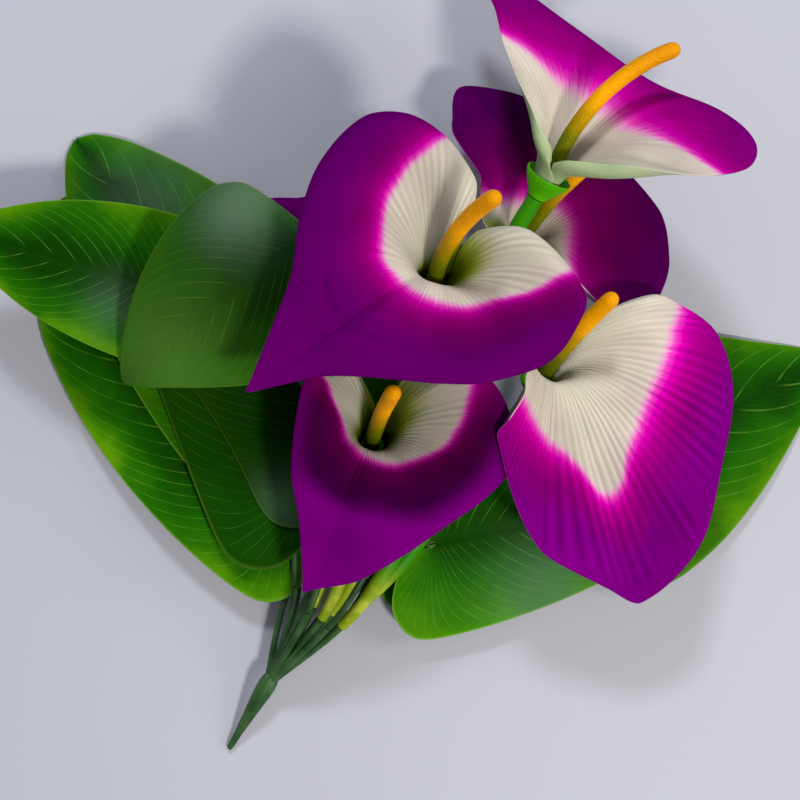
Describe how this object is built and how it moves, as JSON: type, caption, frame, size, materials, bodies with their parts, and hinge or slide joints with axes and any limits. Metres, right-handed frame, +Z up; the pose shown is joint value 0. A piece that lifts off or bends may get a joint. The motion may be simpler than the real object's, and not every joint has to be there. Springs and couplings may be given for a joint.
{
  "type": "artificial calla lily bouquet",
  "caption": "Bunch of artificial calla lilies lying on a surface: two-tone funnel-shaped fabric flowers and broad leaves whose stems fork from a short cut stalk.",
  "frame": {"origin": "centre of the base of the bounding box, on the surface the bunch lies on", "axes": "+Z up from the surface, +X along the longest extent from leaf tip to leaf tip, +Y from the stalk's cut end towards the flowers"},
  "size_m": [0.3699, 0.3369, 0.1475],
  "materials": {
    "spathe": "heat-pressed polyester, white towards the throat",
    "spadix": "grainy yellow foam",
    "cup": "soft moulded plastic",
    "sleeve": "soft moulded plastic",
    "leaf": "satin printed polyester with pressed veins",
    "stem": "moulded plastic over wire"
  },
  "bodies": {
    "root": {"flower_1_spathe": "spathe", "flower_1_spadix": "spadix", "flower_1_cup": "cup", "flower_1_sleeve": "sleeve", "flower_2_spathe": "spathe", "flower_2_spadix": "spadix", "flower_2_cup": "cup", "flower_2_sleeve": "sleeve", "flower_3_spathe": "spathe", "flower_3_spadix": "spadix", "flower_3_cup": "cup", "flower_3_sleeve": "sleeve", "flower_4_spathe": "spathe", "flower_4_spadix": "spadix", "flower_4_cup": "cup", "flower_4_sleeve": "sleeve", "flower_5_spathe": "spathe", "flower_5_spadix": "spadix", "flower_5_cup": "cup", "flower_5_sleeve": "sleeve", "flower_6_spathe": "spathe", "flower_6_spadix": "spadix", "flower_6_cup": "cup", "flower_6_sleeve": "sleeve", "leaf_1_blade": "leaf", "leaf_1_petiole": "stem", "leaf_2_blade": "leaf", "leaf_2_petiole": "stem", "leaf_3_blade": "leaf", "leaf_3_petiole": "stem", "leaf_4_blade": "leaf", "leaf_4_petiole": "stem", "leaf_5_blade": "leaf", "leaf_5_petiole": "stem", "leaf_6_blade": "leaf", "leaf_6_petiole": "stem", "leaf_7_blade": "leaf", "leaf_7_petiole": "stem", "leaf_8_blade": "leaf", "leaf_8_petiole": "stem", "leaf_9_blade": "leaf", "leaf_9_petiole": "stem", "leaf_10_blade": "leaf", "leaf_10_petiole": "stem", "stem_trunk": "stem"}
  },
  "joints": []
}
